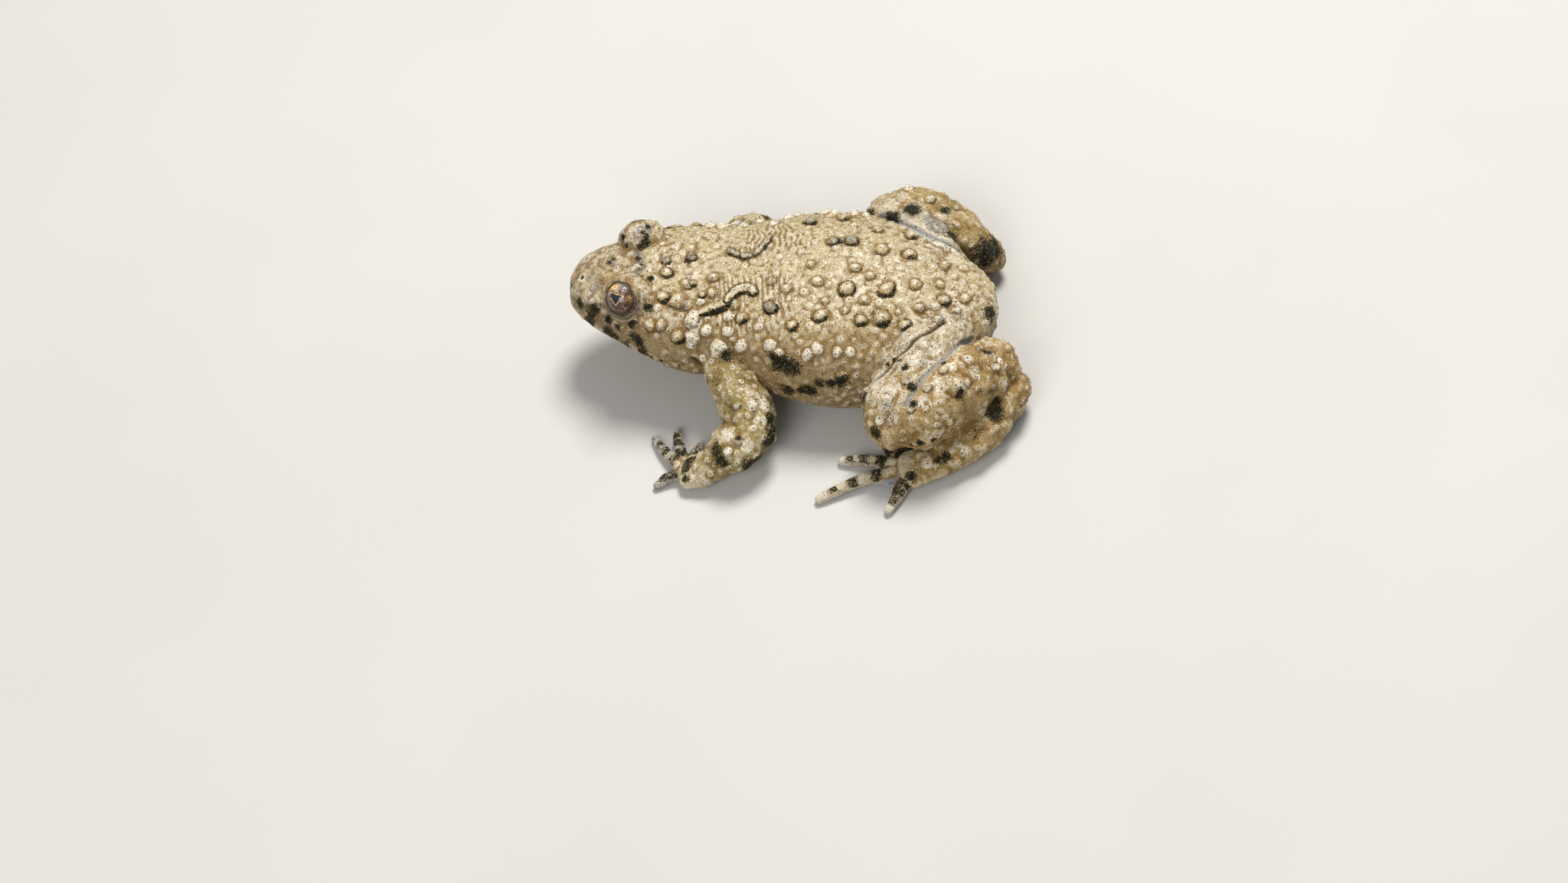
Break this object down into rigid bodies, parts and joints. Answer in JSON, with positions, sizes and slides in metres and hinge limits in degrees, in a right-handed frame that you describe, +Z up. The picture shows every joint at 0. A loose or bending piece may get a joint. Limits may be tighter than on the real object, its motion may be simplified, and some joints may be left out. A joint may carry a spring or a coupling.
{
  "type": "yellow bellied toad",
  "caption": "Small warty toad sitting with raised head and folded hind legs, a still life-size model that rests on belly, hands and feet.",
  "frame": {"origin": "on the floor, below the middle of the whole toad's box", "axes": "+Z up, the toad looks along -X with its left side towards -Y"},
  "size_m": [0.0496, 0.0424, 0.0144],
  "materials": {
    "back_skin": "damp warty skin",
    "limb_skin": "damp mottled skin",
    "toe_skin": "damp banded skin",
    "eye": "clear and wet"
  },
  "bodies": {
    "root": {"torso": "back_skin", "head": "back_skin", "eye_left": "eye", "eye_right": "eye", "upper_arm_left": "limb_skin", "forearm_left": "limb_skin", "hand_left": "toe_skin", "thigh_left": "limb_skin", "shank_left": "limb_skin", "tarsus_left": "limb_skin", "foot_left": "toe_skin", "upper_arm_right": "limb_skin", "forearm_right": "limb_skin", "hand_right": "toe_skin", "thigh_right": "limb_skin", "shank_right": "limb_skin", "tarsus_right": "limb_skin", "foot_right": "toe_skin"}
  },
  "joints": []
}
